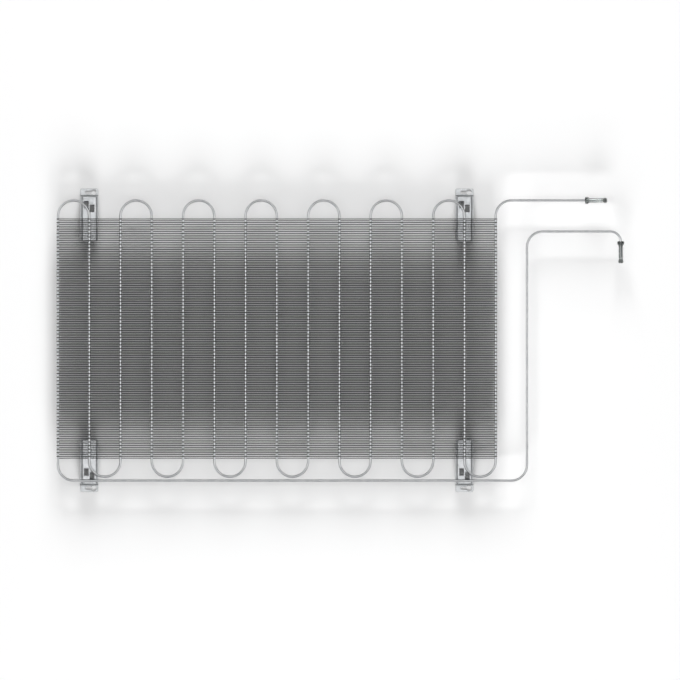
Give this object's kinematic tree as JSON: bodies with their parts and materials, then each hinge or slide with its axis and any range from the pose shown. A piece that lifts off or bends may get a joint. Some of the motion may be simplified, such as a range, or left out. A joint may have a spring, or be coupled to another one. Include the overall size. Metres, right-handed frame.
{
  "type": "wire-on-tube condenser coil",
  "caption": "Flat serpentine steel tube with straight wire fins welded on both faces, carried by keyhole-flanged sheet brackets, its two ends closed by soft caps.",
  "frame": {"origin": "middle of the coil's outline, on the wall plane that the bracket flanges lie on", "axes": "+X along the fin wires, towards the two tube tails; +Y along the tube's straight runs, towards the outlet tail; +Z away from the wall"},
  "size_m": [1.0894, 0.5816, 0.0343],
  "materials": {
    "tube": "zinc plated, satin",
    "fin_wires": "black baked lacquer, satin",
    "brackets": "zinc plated sheet, satin",
    "end_caps": "soft clear vinyl"
  },
  "bodies": {
    "root": {"serpentine_tube": "tube", "front_fin_wires_01": "fin_wires", "front_fin_wires_02": "fin_wires", "front_fin_wires_03": "fin_wires", "front_fin_wires_04": "fin_wires", "front_fin_wires_05": "fin_wires", "front_fin_wires_06": "fin_wires", "front_fin_wires_07": "fin_wires", "front_fin_wires_08": "fin_wires", "front_fin_wires_09": "fin_wires", "front_fin_wires_10": "fin_wires", "front_fin_wires_11": "fin_wires", "front_fin_wires_12": "fin_wires", "front_fin_wires_13": "fin_wires", "front_fin_wires_14": "fin_wires", "front_fin_wires_15": "fin_wires", "front_fin_wires_16": "fin_wires", "front_fin_wires_17": "fin_wires", "rear_fin_wires_01": "fin_wires", "rear_fin_wires_02": "fin_wires", "rear_fin_wires_03": "fin_wires", "rear_fin_wires_04": "fin_wires", "rear_fin_wires_05": "fin_wires", "rear_fin_wires_06": "fin_wires", "rear_fin_wires_07": "fin_wires", "rear_fin_wires_08": "fin_wires", "rear_fin_wires_09": "fin_wires", "rear_fin_wires_10": "fin_wires", "rear_fin_wires_11": "fin_wires", "rear_fin_wires_12": "fin_wires", "rear_fin_wires_13": "fin_wires", "rear_fin_wires_14": "fin_wires", "rear_fin_wires_15": "fin_wires", "rear_fin_wires_16": "fin_wires", "rear_fin_wires_17": "fin_wires", "bracket_top_left": "brackets", "bracket_top_right": "brackets", "bracket_bottom_left": "brackets", "bracket_bottom_right": "brackets", "end_cap_outlet": "end_caps", "end_cap_inlet": "end_caps"}
  },
  "joints": []
}
